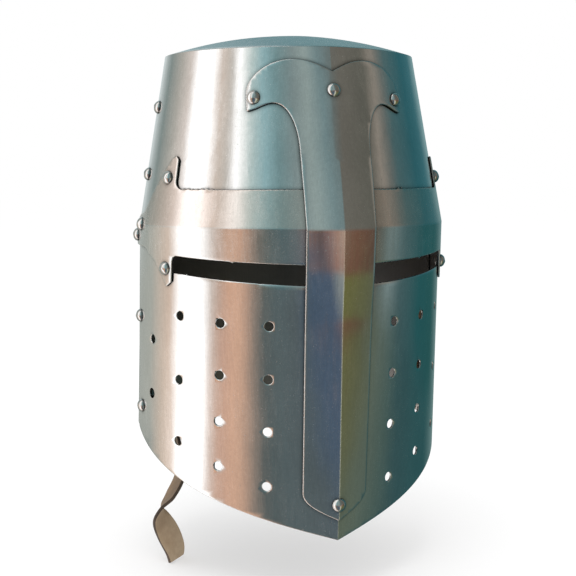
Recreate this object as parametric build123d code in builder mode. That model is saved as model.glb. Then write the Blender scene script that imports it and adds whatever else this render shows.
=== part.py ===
from build123d import *
from math import asin, cos, radians, sin
import os

# Great helm in riveted sheet steel, with a laced leather liner and a chin strap.
# Millimetres, +Z up, the face looks along -Y. The origin is where the crown of the liner meets the head.
os.makedirs("parts", exist_ok=True)

# driving dimensions
ridge_drop = 85.0  # the brow ridge lies this far below the head seat
pitch = 1.2  # lapped plates lie in layers, one of these apart
sheet = 1.15  # 18 gauge sheet, with a hair of room between layers
leather = 2.0
seam_y = 13.0  # rear edge of the front plates
lap = 20.0  # overlap of front and rear plates at the side seams
rim_height = 118.0  # heights are above the brow ridge
dome_rise = 15.0
rear_hem = -148.0
front_hem = -210.5
hem_slope = 0.54  # rise of the front hem per millimetre towards the back
shank_radius = 2.0
shank_room = 0.06
head_radius = 4.0
head_height = 3.3
breath_radius = 3.15
strap_width = 19.0
strap_leather = 2.4
washer_thick = 0.8
washer_room = 0.1  # the strap turns between two washers
washer_radius = 5.5
tail_radius = 3.2
tail_height = 1.3
tail_corner = 0.6
beyond = 150.0  # outlines that cut the plates run this far out
hole_out = 4.0  # a rivet hole starts this far outside its spot
hole_in = 12.0
keel_front = 103.0  # the front hem's height is given at this depth
wall_room = 0.3  # the wall curves away from the flat washer
strap_rivet = (6.3, -66.0)  # y, height
buckle_height = -124.0

# plans of the shell: height, half width, y of the widest place, front, keel angle, back
rim = (rim_height, 90.0, 1.3, 87.0, 4.0, 100.0)
ridge = (0.0, 110.0, 0.0, 113.4, 8.0, 121.2)
hem = (-210.8, 113.2, 20.1, 102.8, 24.9, 118.3)
side_fall = 0.55  # how long the side runs straight towards the front
front_reach = 0.45
round_reach = 0.5523  # a quarter circle as one curve


def z_at(height):
    return height - ridge_drop


def plan_points(level, out):
    """Control points of the right half of a plan, from the back round the side to the keel."""
    height, half, wide_y, front, keel, back = level
    half = half + out
    front = front + out
    back = back + out
    reach = front_reach * half
    return [
        (0.0, back),
        (round_reach * half, back),
        (half, wide_y + round_reach * (back - wide_y)),
        (half, wide_y),
        (half, wide_y - side_fall * (front + wide_y)),
        (reach * cos(radians(keel)), reach * sin(radians(keel)) - front),
        (0.0, -front),
    ]


def ring(height, out):
    """Plan control points at any height: the shell is ruled between its three driving plans."""
    upper, lower = (rim, ridge) if height >= 0 else (ridge, hem)
    share = (upper[0] - height) / (upper[0] - lower[0])
    pairs = zip(plan_points(upper, out), plan_points(lower, out))
    return [(a[0] + share * (b[0] - a[0]), a[1] + share * (b[1] - a[1])) for a, b in pairs]


def shrunk(points, share, centre_y):
    return [(x * share, centre_y + (y - centre_y) * share) for x, y in points]


def plan_edges(height, points):
    """The closed plan as four curves, from the back round the right side and home by the left."""
    mirrored = [(-x, y) for x, y in points]
    runs = (points[:4], points[3:], mirrored[:2:-1], mirrored[3::-1])
    return [Edge.make_bezier(*[Vector(x, y, z_at(height)) for x, y in run]) for run in runs]


def tower(sections):
    """Solid ruled through plans, curve to curve: sections are (height, control points) from the top down."""
    rings = [plan_edges(height, points) for height, points in sections]
    faces = [Face(Wire(rings[0])), Face(Wire(rings[-1]))]
    for upper, lower in zip(rings, rings[1:]):
        faces += [Face.make_surface_from_curves(a, b) for a, b in zip(upper, lower)]
    return Solid(Shell(faces))


def wall(steps, thick=sheet):
    """Sheet that follows the shell: steps are (height, how far its outer face stands out)."""
    outside = tower([(height, ring(height, out)) for height, out in steps])
    inside = tower([(height, ring(height, out - thick)) for height, out in steps])
    return outside - inside


def bezier_at(points, t):
    a, b, c, d = points
    k = 1 - t
    weights = (k * k * k, 3 * k * k * t, 3 * k * t * t, t * t * t)
    x = sum(w * p[0] for w, p in zip(weights, (a, b, c, d)))
    y = sum(w * p[1] for w, p in zip(weights, (a, b, c, d)))
    return x, y


def wall_point(side, way, height, out=0.0):
    """way is 1 at the keel, 0 at the side and -1 at the back."""
    points = ring(height, out)
    x, y = bezier_at(points[3:], way) if way >= 0 else bezier_at(points[:4], 1 + way)
    return Vector(side * x, y, z_at(height))


def wall_plane(side, way, height, out=0.0):
    """Plane on the wall's outer face, its z pointing out of the helmet."""
    here = wall_point(side, way, height, out)
    step = 0.002 if way < 0.5 else -0.002
    along = (wall_point(side, way + step, height, out) - here) * (1 if step > 0 else -1)
    drop = 0.5 if height <= 0 else -0.5
    down = (wall_point(side, way, height - drop, out) - here) * (1 if drop > 0 else -1)
    normal = along.cross(down).normalized()
    outward = Vector(here.X, here.Y, 0)
    if normal.dot(outward) < 0:
        normal = -normal
    return Plane(origin=here, x_dir=Vector(0, 0, 1).cross(normal), z_dir=normal)


def way_at_y(y, height):
    """Finds how far round the wall the depth y lies."""
    low, high = -1.0, 1.0
    for _ in range(40):
        middle = (low + high) / 2
        if wall_point(1, middle, height).Y > y:
            low = middle
        else:
            high = middle
    return low


def side_planes(y, height, out):
    way = way_at_y(y, height)
    return [wall_plane(1, way, height, out), wall_plane(-1, way, height, out)]


def keel_plane(height, out):
    """Plane across the front keel, square to its slope."""
    here = wall_point(1, 1, height, out)
    lower = wall_point(1, 1, height - 1, out)
    slope = (here - lower).normalized()
    normal = Vector(1, 0, 0).cross(slope)
    return Plane(origin=here, x_dir=(1, 0, 0), z_dir=normal if normal.Y < 0 else -normal)


def back_planes(height, out):
    return [wall_plane(1, -0.55, height, out), wall_plane(-1, -0.55, height, out), wall_plane(1, -1, height, out)]


# every rivet: the planes on the outermost face, and the thickness it holds
arm_spots = [wall_plane(side, 0.626, 84.6, pitch) for side in (1, -1)]
head_spot = [keel_plane(89.2, pitch - 0.25)]
foot_spot = [keel_plane(-185.4, pitch - 0.9)]
ear_spots = side_planes(-35.0, 32.5, pitch)
ridge_spots = [plane.offset(-0.3) for plane in side_planes(-3.0, 0.01, pitch)]
end_spots = side_planes(10.5, -8.0, pitch)
corner_spots = side_planes(-38.8, -29.0, pitch)
high_seam_spots = side_planes(5.0, 82.0, 0.0)
low_seam_spots = side_planes(5.0, 35.0, 0.0)
jaw_spots = side_planes(3.5, -131.0, 0.0)
strap_spots = [
    Plane(origin=wall_point(1, 0, strap_rivet[1], 0.1), x_dir=(0, 1, 0), z_dir=(1, 0, 0)),
    Plane(origin=wall_point(-1, 0, strap_rivet[1], 0.1), x_dir=(0, 1, 0), z_dir=(-1, 0, 0)),
]
waist_spots = back_planes(-6.5, -pitch)
liner_spots = back_planes(35.0, -pitch)
plate_spots = (
    arm_spots
    + head_spot
    + foot_spot
    + ear_spots
    + ridge_spots
    + end_spots
    + corner_spots
    + high_seam_spots
    + low_seam_spots
    + jaw_spots
    + strap_spots
    + waist_spots
    + liner_spots
)


def drill(spots):
    """Rivet holes through every layer at each spot."""
    with Locations(*[plane.offset((hole_out - hole_in) / 2) for plane in spots]):
        Cylinder(shank_radius + shank_room, hole_out + hole_in, mode=Mode.SUBTRACT)


def file_flat(spots):
    """A flat filed for a head that sits on a crease."""
    with Locations(*[plane.offset(hole_out / 2) for plane in spots]):
        Cylinder(head_radius + 0.15, hole_out, mode=Mode.SUBTRACT)


def side_prism(points):
    """Prism right through the helmet, of an outline seen from the side: points are (y, height)."""
    with BuildPart() as prism:
        with BuildSketch(Plane.YZ):
            with BuildLine():
                Polyline(*[(y, z_at(height)) for y, height in points], close=True)
            make_face()
        extrude(amount=beyond, both=True)
    return prism.part


def finish(piece, name):
    piece.part.label = name
    export_step(piece.part, "parts/" + name + ".step")


# top plate: a low dome with a flange that drops inside the upper plates
def cap(rise, out, low):
    shares = (1.0, 0.9, 0.75, 0.55, 0.3, 0.06)
    heights = [rim_height + rise * (1 - share * share) + low for share in shares]
    heights[0] = rim_height + 0.05
    return tower([(h, shrunk(ring(rim_height, out), s, 5.0)) for h, s in zip(heights, shares)])


with BuildPart() as top_plate:
    add(cap(dome_rise, 0.0, 0.0))
    add(cap(dome_rise, -3.4, -sheet), mode=Mode.SUBTRACT)
    add(wall([(rim_height + 0.6, -2 * pitch), (rim_height - 10, -2 * pitch)]))
finish(top_plate, "top_plate")

# upper plates: two halves of a cone, lapped at the side seams
with BuildPart() as upper_front_plate:
    add(wall([(rim_height, 0), (2, 0)]))
    add(side_prism([(-beyond, 130), (seam_y, 130), (seam_y, 0), (-beyond, 0)]), mode=Mode.INTERSECT)
    drill(plate_spots)
finish(upper_front_plate, "upper_front_plate")

with BuildPart() as upper_rear_plate:
    add(wall([(rim_height, -pitch), (0, -pitch), (-12, -pitch)]))
    add(side_prism([(beyond, 130), (seam_y - lap, 130), (seam_y - lap, -20), (beyond, -20)]), mode=Mode.INTERSECT)
    drill(plate_spots)
finish(upper_rear_plate, "upper_rear_plate")

# brow band: ridged along its middle, with an ear above and a pointed tab below at each side
ear_round = 8.0
brow_outline = [
    (-beyond, 24.5),
    (-43 - ear_round, 24.5),
    (-43 - 0.35 * ear_round, 24.5 + 0.12 * ear_round),
    (-43 - 0.12 * ear_round, 24.5 + 0.35 * ear_round),
    (-43, 24.5 + ear_round),
    (-42, 44.5),
    (-39.5, 47),
    (-36.5, 46),
    (-20, 24),
    (-8, 9),
    (4, 6.5),
    (15, 0),
    (17.5, -8),
    (12, -15),
    (-12, -16),
    (-27, -25),
    (-35, -34.5),
    (-38.5, -41.5),
    (-43.5, -38),
    (-45, -24),
    (-46, -21.3),
    (-48.5, -20.2),
    (-106, -24.2),
    (-beyond, -24.2),
]
with BuildPart() as brow_band:
    add(wall([(60, pitch), (0, pitch), (-60, pitch)]))
    add(side_prism(brow_outline), mode=Mode.INTERSECT)
    drill(plate_spots)
    file_flat(ridge_spots)
finish(brow_band, "brow_band")

# face plate: its upper edge is the lower edge of the eye slit, and its hem sweeps down to the keel
hem_at_seam = front_hem + hem_slope * (seam_y + keel_front)
face_outline = [
    (-beyond, -38.2),
    (-106, -38.2),
    (-47, -32),
    (-42, -32),
    (-42, -1),
    (seam_y, -1),
    (seam_y, hem_at_seam),
    (-beyond, front_hem + hem_slope * (keel_front - beyond)),
]
breath_columns = (
    (0.705, (-65, -101, -137, -175)),
    (0.508, (-64, -99.5, -131.5, -163)),
    (0.318, (-61, -105.5, -149)),
    (0.145, (-80, -119)),
)
breaths = []
for way, heights in breath_columns:
    for height in heights:
        breaths.append(wall_plane(1, way, height))
        breaths.append(wall_plane(-1, way, height))
with BuildPart() as face_plate:
    add(wall([(0, 0), (front_hem - 6, 0)]))
    add(side_prism(face_outline), mode=Mode.INTERSECT)
    drill(plate_spots)
    with Locations(*breaths):
        Cylinder(breath_radius, 10, mode=Mode.SUBTRACT)
finish(face_plate, "face_plate")

# nape plate: its top edge is set in to pass under the upper rear plate
with BuildPart() as nape_plate:
    add(wall([(-1, -2 * pitch), (-12.3, -2 * pitch), (-16, -pitch), (rear_hem - 5, -pitch)]))
    add(side_prism([(beyond, 10), (seam_y - lap, 10), (seam_y - lap, rear_hem), (beyond, rear_hem)]), mode=Mode.INTERSECT)
    drill(plate_spots)
finish(nape_plate, "nape_plate")

# cross bar: nasal strip with scroll arms and a clipped foot, set out to pass over the brow band
bar_half = 23.6
with BuildPart() as cross_bar:
    steps = [(116, pitch), (31, pitch), (27, 2 * pitch), (0, 2 * pitch), (-27, 2 * pitch), (-32, pitch)]
    add(wall(steps + [(front_hem, pitch)]))
    with BuildSketch(Plane.XZ.offset(20)) as bar_shape:
        with BuildLine():
            notch = (0, z_at(101.7))
            top = (-25, z_at(109.6))
            shoulder = (-53.3, z_at(86))
            tip = (-53.3, z_at(75.8))
            arch = (-37.5, z_at(81.0))
            neck = (-bar_half - 0.4, z_at(50))
            hip = (-bar_half, z_at(20))
            heel = (-22.4, z_at(-178))
            toe = (0, z_at(-196.3))
            Bezier(notch, (-9, z_at(106.5)), (-15, z_at(109.6)), top)
            Bezier(top, (-41, z_at(109.6)), (-53.3, z_at(97)), shoulder)
            Line(shoulder, tip)
            Bezier(tip, (-48, z_at(76.5)), (-43, z_at(81.3)), arch)
            Bezier(arch, (-29, z_at(80.5)), (neck[0], z_at(66)), neck)
            Line(neck, hip)
            Line(hip, heel)
            Bezier(heel, (-22.4, z_at(-186)), (-12, z_at(-191)), toe)
            mirror(about=Plane.YZ)
        make_face()
    extrude(amount=beyond, mode=Mode.INTERSECT)
    drill(arm_spots + head_spot + foot_spot)
    file_flat(head_spot + foot_spot)
finish(cross_bar, "cross_bar")


# rivets: a round head outside, the shank, and a hammered tail inside
def rivet_group(spots, grip):
    tail = grip + 0.12
    foot = 0.04
    tall = head_height - foot
    ball = (head_radius**2 + tall**2) / (2 * tall)
    half_turn = asin(head_radius / ball) / 2
    crown = (ball * sin(half_turn), head_height - ball + ball * cos(half_turn))
    with BuildPart() as single:
        with BuildSketch(Plane.XZ):
            with BuildLine():
                Polyline(
                    (0, head_height),
                    (0, -tail - tail_height),
                    (tail_radius - tail_corner, -tail - tail_height),
                    (tail_radius, -tail - tail_height + tail_corner),
                    (tail_radius, -tail),
                    (shank_radius, -tail),
                    (shank_radius, foot),
                    (head_radius, foot),
                )
                ThreePointArc((head_radius, foot), crown, (0, head_height))
            make_face()
        revolve(axis=Axis.Z)
    with BuildPart() as group:
        with Locations(*spots):
            add(single.part)
    return group


two_plates = 2 * pitch
with_liner = 2 * pitch + leather + 0.1
rivet_nodes = {
    "cross_arm_rivets": (arm_spots, two_plates),
    "cross_head_rivet": (head_spot, two_plates + 0.3),
    "cross_foot_rivet": (foot_spot, two_plates + 1.5),
    "brow_ear_rivets": (ear_spots, pitch + with_liner),
    "brow_ridge_rivets": (ridge_spots, 4 * pitch + 0.3),
    "brow_end_rivets": (end_spots, 4 * pitch),
    "brow_corner_rivets": (corner_spots, two_plates),
    "upper_seam_rivets": (high_seam_spots, two_plates),
    "liner_side_rivets": (low_seam_spots, with_liner),
    "lower_seam_rivets": (jaw_spots, two_plates),
    "strap_rivets": (strap_spots, two_plates + strap_leather + 2 * washer_thick + 3 * washer_room + wall_room + 0.1),
    "rear_waist_rivets": (waist_spots, two_plates),
    "liner_rear_rivets": (liner_spots, pitch + leather + 0.1),
}
for rivet_name, (spots, grip) in rivet_nodes.items():
    finish(rivet_group(spots, grip), rivet_name)

# liner: a leather band riveted round the brow, with eight tongues laced together over the head
band_top = 52.0
band_out = -2 * pitch - 0.05
with BuildPart() as liner_band:
    add(wall([(band_top, band_out), (20, band_out)], leather))
    drill(plate_spots)
finish(liner_band, "liner_band")

lace_ring = 19.0
lace_height = 90.0
lace_radius = 1.5
hem_radius = 3.2
tongue_out = band_out - leather - 0.05
tongue_rise = ((38, 1.0), (52, 1.0), (68, 0.9), (80, 0.72), (87, 0.5), (90, 0.2))


def liner_dome(inset):
    base = ring(band_top, tongue_out - inset)
    drop = 0.9 * inset
    sections = [(h - (drop if share < 1 else 0), shrunk(base, share, 4.0)) for h, share in reversed(tongue_rise)]
    return tower(sections)


with BuildPart() as tongue_shell:
    add(liner_dome(0.0))
    add(liner_dome(leather), mode=Mode.SUBTRACT)
    with Locations((0, 4, z_at(lace_height))):
        Torus(lace_ring, hem_radius)
        Cylinder(lace_ring - 1.5, 20, mode=Mode.SUBTRACT)
        Torus(lace_ring, lace_radius + 0.15, mode=Mode.SUBTRACT)
tongue_count = 8
tongue_gap = 2.4
for index in range(tongue_count):
    middle = 360 / tongue_count * (index + 0.5)
    edge = 180 / tongue_count
    with BuildPart() as tongue:
        add(tongue_shell.part)
        with BuildSketch(Plane(origin=(0, 4, z_at(30)), x_dir=(cos(radians(middle)), sin(radians(middle)), 0))):
            with BuildLine():
                near = tongue_gap / sin(radians(edge))
                reach = 200
                Polyline(
                    (near, 0),
                    (near + reach, reach * sin(radians(edge)) / cos(radians(edge))),
                    (near + reach, -reach * sin(radians(edge)) / cos(radians(edge))),
                    close=True,
                )
            make_face()
        extrude(amount=80, mode=Mode.INTERSECT)
        drill(ear_spots + low_seam_spots + liner_spots)
    finish(tongue, "liner_tongue_" + str(index + 1))

with BuildPart() as liner_lace:
    with Locations((0, 4, z_at(lace_height))):
        Torus(lace_ring, lace_radius)
finish(liner_lace, "liner_lace")

# chin strap: two leather straps that turn on the strap rivets, each under a washer
strap_y, strap_top = strap_rivet
inner_face = wall_point(1, 0, strap_top).X - 2 * pitch
spacer_x = inner_face - wall_room - washer_thick / 2
strap_x = spacer_x - washer_thick / 2 - washer_room - strap_leather / 2
washer_x = strap_x - strap_leather / 2 - washer_room - washer_thick / 2


def strap_holes(side):
    with Locations(Plane(origin=(side * strap_x, strap_y, z_at(strap_top)), z_dir=(1, 0, 0))):
        Cylinder(shank_radius + 0.08, 3 * strap_leather, mode=Mode.SUBTRACT)


long_route = [
    (-strap_x, -56),
    (-strap_x, -78),
    (-strap_x + 6.5, -105),
    (-strap_x + 16, -140),
    (-strap_x + 23, -172),
    (-strap_x + 20.5, -192),
    (-strap_x + 6.5, -212.5),
    (-strap_x + 11, -226),
    (-strap_x + 18.5, -247.5),
]
with BuildPart() as chin_strap_long:
    with BuildSketch(Plane.XZ.offset(-strap_y)):
        with BuildLine():
            FilletPolyline(*[(x, z_at(height)) for x, height in long_route], radius=10)
        trace(line_width=strap_leather)
    extrude(amount=strap_width / 2, both=True)
    strap_holes(-1)
finish(chin_strap_long, "chin_strap_long")

loop_radius = 3.4  # the short strap wraps the buckle's bar
with BuildPart() as chin_strap_short:
    with BuildSketch(Plane.XZ.offset(-strap_y)):
        with BuildLine():
            short_x = strap_x - 6.5
            Polyline(
                (strap_x, z_at(-56)),
                (strap_x, z_at(-80)),
                (short_x, z_at(-98)),
                (short_x, z_at(buckle_height) + loop_radius - 1.0),
            )
        trace(line_width=strap_leather)
        with Locations((short_x, z_at(buckle_height))):
            Circle(loop_radius)
            Circle(loop_radius - 1.8, mode=Mode.SUBTRACT)
    extrude(amount=strap_width / 2, both=True)
    with Locations((short_x, strap_y, z_at(buckle_height) - 1.0)):
        Box(12, 5, 14, mode=Mode.SUBTRACT)
    strap_holes(1)
finish(chin_strap_short, "chin_strap_short")

washer_planes = []
for side in (1, -1):
    for x in (spacer_x, washer_x):
        washer_planes.append(Plane(origin=(side * x, strap_y, z_at(strap_top)), z_dir=(1, 0, 0)))
with BuildPart() as strap_washers:
    with Locations(*washer_planes):
        Cylinder(washer_radius, washer_thick)
        Cylinder(shank_radius + shank_room, 2 * washer_thick, mode=Mode.SUBTRACT)
finish(strap_washers, "strap_washers")

# buckle: a rectangular wire frame on the loop, and a prong on its bar
wire = 1.5
buckle_wide = 26.0
buckle_long = 21.0
bar_at = (short_x, strap_y, z_at(buckle_height))
with BuildPart() as buckle_frame:
    with BuildLine():
        frame_path = FilletPolyline(
            (short_x, strap_y - buckle_wide / 2, z_at(buckle_height)),
            (short_x, strap_y + buckle_wide / 2, z_at(buckle_height)),
            (short_x, strap_y + buckle_wide / 2, z_at(buckle_height) - buckle_long),
            (short_x, strap_y - buckle_wide / 2, z_at(buckle_height) - buckle_long),
            radius=3,
            close=True,
        )
    with BuildSketch(Plane(origin=frame_path @ 0, z_dir=frame_path % 0)):
        Circle(wire)
    sweep()
finish(buckle_frame, "buckle_frame")

prong_wire = 1.1
with BuildPart() as buckle_prong:
    with BuildSketch(Plane.XZ.offset(-strap_y)):
        with Locations((short_x, z_at(buckle_height))):
            Circle(wire + 0.06 + 2 * prong_wire)
            Circle(wire + 0.06, mode=Mode.SUBTRACT)
    extrude(amount=prong_wire, both=True)
    with BuildSketch(Plane.XY.offset(z_at(buckle_height) - wire - 0.6)):
        with Locations((short_x - wire - 0.3 - prong_wire, strap_y)):
            Circle(prong_wire)
    extrude(amount=-(buckle_long - wire + 1.5))
finish(buckle_prong, "buckle_prong")

# keeper: a leather loop that slides on the short strap
keeper_room = 0.35
keeper_height = -112.0
with BuildPart() as strap_keeper:
    with BuildSketch(Plane.XY.offset(z_at(keeper_height) - 3.5)):
        with Locations((short_x, strap_y)):
            Rectangle(strap_leather + 2 * keeper_room + 3.0, strap_width + 2 * keeper_room + 3.0)
            Rectangle(strap_leather + 2 * keeper_room, strap_width + 2 * keeper_room, mode=Mode.SUBTRACT)
    extrude(amount=7)
finish(strap_keeper, "strap_keeper")
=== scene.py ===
import bpy
from math import atan2, ceil, cos, pi, radians, sin, sqrt
from mathutils import Matrix, Vector


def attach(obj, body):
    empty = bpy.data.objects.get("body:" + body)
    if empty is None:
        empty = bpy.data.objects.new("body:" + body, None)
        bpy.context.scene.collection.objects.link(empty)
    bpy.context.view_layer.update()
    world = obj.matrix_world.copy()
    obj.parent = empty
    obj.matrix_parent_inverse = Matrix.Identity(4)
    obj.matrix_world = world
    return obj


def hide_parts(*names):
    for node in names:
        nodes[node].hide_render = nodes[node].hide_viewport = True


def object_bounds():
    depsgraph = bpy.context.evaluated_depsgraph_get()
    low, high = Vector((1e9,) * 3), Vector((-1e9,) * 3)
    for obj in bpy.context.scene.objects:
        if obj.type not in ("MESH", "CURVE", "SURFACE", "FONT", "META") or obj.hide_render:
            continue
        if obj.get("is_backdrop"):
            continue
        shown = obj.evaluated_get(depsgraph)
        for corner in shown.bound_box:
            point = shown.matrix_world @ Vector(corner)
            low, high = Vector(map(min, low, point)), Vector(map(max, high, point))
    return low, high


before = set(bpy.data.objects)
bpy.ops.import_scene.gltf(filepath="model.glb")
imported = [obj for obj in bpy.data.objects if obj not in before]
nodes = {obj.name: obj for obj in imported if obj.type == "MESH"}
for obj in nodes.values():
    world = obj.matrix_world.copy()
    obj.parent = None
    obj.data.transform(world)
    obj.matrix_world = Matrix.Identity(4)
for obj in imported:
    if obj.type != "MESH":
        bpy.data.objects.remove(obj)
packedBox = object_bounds()
print("frame loaded:", len(nodes), "nodes")

mm = 0.001
ridgeDrop = 85.0  # the brow ridge lies this far below the origin, and heights are above the ridge, in millimetres

# the camera stands in front, turned to its left
cameraPlace = {
    "azimuth": -17.395,
    "elevation": 5.53,
    "roll": -0.24,
    "distance": 0.8882,
    "target": (-0.0022, 0.0, -0.1344),
    "lens": 75.11,
}


def setCamera(place):
    bpy.ops.object.select_all(action="DESELECT")
    bpy.ops.object.camera_add()
    camera = bpy.context.active_object
    camera.name = "studioCamera"
    turn = (
        Matrix.Rotation(radians(place["azimuth"]), 4, "Z")
        @ Matrix.Rotation(radians(90 - place["elevation"]), 4, "X")
        @ Matrix.Rotation(radians(place["roll"]), 4, "Z")
    )
    back = turn.to_3x3() @ Vector((0, 0, place["distance"]))
    camera.matrix_world = Matrix.Translation(Vector(place["target"]) + back) @ turn
    camera.data.sensor_width = 36
    camera.data.lens = place["lens"]
    camera.data.clip_end = 50
    bpy.context.scene.camera = camera


setCamera(cameraPlace)
bpy.context.scene.view_settings.view_transform = "Standard"
print("camera set")


# helpers for node trees
def addNode(tree, kind, inputs=None, **settings):
    node = tree.nodes.new("ShaderNode" + kind)
    for name, value in settings.items():
        setattr(node, name, value)
    for name, value in (inputs or {}).items():
        socket = node.inputs[name]
        if isinstance(value, bpy.types.NodeSocket):
            tree.links.new(value, socket)
        else:
            socket.default_value = value
    return node


def noise(tree, place, grain):
    scale, detail, rough = grain
    inputs = {"Vector": place, "Scale": scale, "Detail": detail, "Roughness": rough}
    return addNode(tree, "TexNoise", inputs).outputs["Fac"]


def mapped(tree, place, turn, scale):
    return addNode(tree, "Mapping", {"Vector": place, "Rotation": turn, "Scale": scale}).outputs[0]


def between(tree, value, source, target=(0.0, 1.0)):
    inputs = {"Value": value, "From Min": source[0], "From Max": source[1], "To Min": target[0], "To Max": target[1]}
    return addNode(tree, "MapRange", inputs).outputs[0]


def calculate(tree, operation, *values):
    return addNode(tree, "Math", dict(enumerate(values)), operation=operation).outputs[0]


def bump(tree, height, deep, normal=None, strength=1.0):
    inputs = {"Strength": strength, "Distance": deep, "Height": height}
    if normal:
        inputs["Normal"] = normal
    return addNode(tree, "Bump", inputs).outputs[0]


def linear(screen):
    return tuple(((c + 0.055) / 1.055) ** 2.4 if c > 0.04 else c / 12.92 for c in screen)


def fillRamp(ramp, stops):
    while len(ramp.elements) > 1:
        ramp.elements.remove(ramp.elements[-1])
    ramp.elements[0].position = stops[0][0]
    ramp.elements[0].color = (*stops[0][1], 1.0)
    for place, colour in stops[1:]:
        ramp.elements.new(place).color = (*colour, 1.0)


# studio: coloured panels stand round the helmet, and only its polished steel mirrors them
studioPanels = {
    "gain": 1.30,  # brightness of the coloured panels
    "white": 1.8,  # and of the white ones
    # sines of the elevations between which low gives way to middle, and middle to high
    "levels": ((-0.235, -0.195), (-0.09, 0.02)),
    # azimuth in degrees, 0 in front of the face and -90 to its left, then the panel's colour
    "high": [
        (-180, (0.78, 0.81, 0.81)), (-150, (0.50, 0.55, 0.54)), (-126, (0.69, 0.68, 0.65)),
        (-110, (0.86, 0.82, 0.79)), (-101, "white"), (-87, "white"), (-78, (0.82, 0.76, 0.71)),
        (-69, (0.76, 0.74, 0.71)), (-64, "white"), (-60, (0.97, 0.98, 0.97)), (-54, (0.72, 0.79, 0.78)),
        (-45, (0.56, 0.70, 0.72)), (-36, (0.44, 0.56, 0.57)), (-24, (0.50, 0.56, 0.56)),
        (-14, (0.58, 0.64, 0.63)), (-2, (0.45, 0.54, 0.55)), (14, (0.40, 0.43, 0.42)),
        (40, (0.41, 0.40, 0.37)), (64, (0.36, 0.36, 0.33)), (73, (0.56, 0.53, 0.49)), (79, (0.42, 0.43, 0.41)),
        (87, (0.28, 0.39, 0.40)), (108, (0.17, 0.36, 0.39)), (124, (0.22, 0.40, 0.43)), (140, (0.45, 0.57, 0.58)),
        (165, (0.42, 0.54, 0.56)), (180, (0.70, 0.76, 0.77)),
    ],
    "middle": [
        (-180, (0.60, 0.62, 0.60)), (-141, (0.66, 0.67, 0.64)), (-112, (0.85, 0.76, 0.69)), (-101, "white"),
        (-84, "white"), (-76, (0.75, 0.70, 0.66)), (-70, (0.64, 0.53, 0.46)), (-63, (0.84, 0.66, 0.54)),
        (-57, (0.82, 0.63, 0.52)), (-51, (0.55, 0.47, 0.42)), (-45, (0.33, 0.36, 0.33)), (-36, (0.30, 0.40, 0.42)),
        (-27, (0.40, 0.45, 0.45)), (-20, (0.53, 0.41, 0.37)), (-13, (0.36, 0.30, 0.28)), (-5, (0.57, 0.42, 0.38)),
        (6, (0.72, 0.62, 0.54)), (30, (0.70, 0.60, 0.52)), (38, (0.46, 0.35, 0.30)), (46, (0.44, 0.32, 0.26)),
        (60, (0.35, 0.27, 0.23)), (68, (0.34, 0.39, 0.38)),
        (75, (0.48, 0.55, 0.55)), (84, (0.28, 0.38, 0.39)), (104, (0.14, 0.33, 0.34)), (126, (0.15, 0.32, 0.32)),
        (145, (0.40, 0.50, 0.50)), (180, (0.60, 0.62, 0.60)),
    ],
    "low": [
        (-180, (0.50, 0.52, 0.50)), (-138, (0.60, 0.62, 0.60)), (-122, (0.78, 0.72, 0.66)),
        (-108, (0.90, 0.82, 0.76)), (-100, "white"), (-81, "white"), (-75, (0.82, 0.74, 0.69)),
        (-68, (0.79, 0.64, 0.56)), (-60, (0.84, 0.68, 0.58)), (-56, (0.78, 0.64, 0.55)), (-51, (0.56, 0.51, 0.47)),
        (-46, (0.33, 0.37, 0.37)), (-38, (0.34, 0.39, 0.40)), (-30, (0.33, 0.37, 0.38)), (-22, (0.29, 0.355, 0.425)),
        (-8, (0.30, 0.36, 0.435)), (6, (0.78, 0.79, 0.72)), (30, (0.78, 0.78, 0.70)), (38, (0.43, 0.43, 0.32)),
        (45, (0.42, 0.42, 0.25)), (62, (0.37, 0.385, 0.29)),
        (72, (0.35, 0.40, 0.36)), (80, (0.28, 0.36, 0.34)), (88, (0.20, 0.31, 0.32)), (104, (0.18, 0.32, 0.33)),
        (120, (0.17, 0.32, 0.33)), (132, (0.30, 0.42, 0.42)), (150, (0.44, 0.52, 0.52)), (180, (0.50, 0.52, 0.50)),
    ],
}


def setStudio(panels):
    world = bpy.data.worlds.new("studio")
    bpy.context.scene.world = world
    world.use_nodes = True
    world.cycles.sampling_method = "NONE"
    tree = world.node_tree
    tree.nodes.clear()
    way = addNode(tree, "SeparateXYZ", {"Vector": addNode(tree, "TexCoord").outputs["Generated"]})
    front = calculate(tree, "MULTIPLY", way.outputs["Y"], -1.0)
    angle = calculate(tree, "ARCTAN2", way.outputs["X"], front)
    share = between(tree, angle, (-pi, pi))
    ramps = []
    for level in ("low", "middle", "high"):
        ramp = addNode(tree, "ValToRGB", {"Fac": share})
        stops = []
        for azimuth, colour in panels[level]:
            shown = (panels["white"],) * 3 if colour == "white" else tuple(panels["gain"] * c for c in linear(colour))
            stops.append(((azimuth + 180) / 360, shown))
        fillRamp(ramp.color_ramp, stops)
        ramps.append(ramp.outputs["Color"])
    mixed = ramps[0]
    for upper, level in zip(ramps[1:], panels["levels"]):
        lift = between(tree, way.outputs["Z"], level)
        mixed = addNode(tree, "Mix", {"Factor": lift, 6: mixed, 7: upper}, data_type="RGBA").outputs[2]
    glossy = addNode(tree, "LightPath").outputs["Is Glossy Ray"]
    shown = addNode(tree, "Mix", {"Factor": glossy, 6: (1.0, 1.0, 1.0, 1.0), 7: mixed}, data_type="RGBA")
    back = addNode(tree, "Background", {"Color": shown.outputs[2], "Strength": 1.0})
    addNode(tree, "OutputWorld", {"Surface": back.outputs[0]})


setStudio(studioPanels)

softLight = {"place": (-0.5, -0.7, 1.7), "target": (0, 0, -0.15), "size": 1.0, "energy": 12.0}


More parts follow.
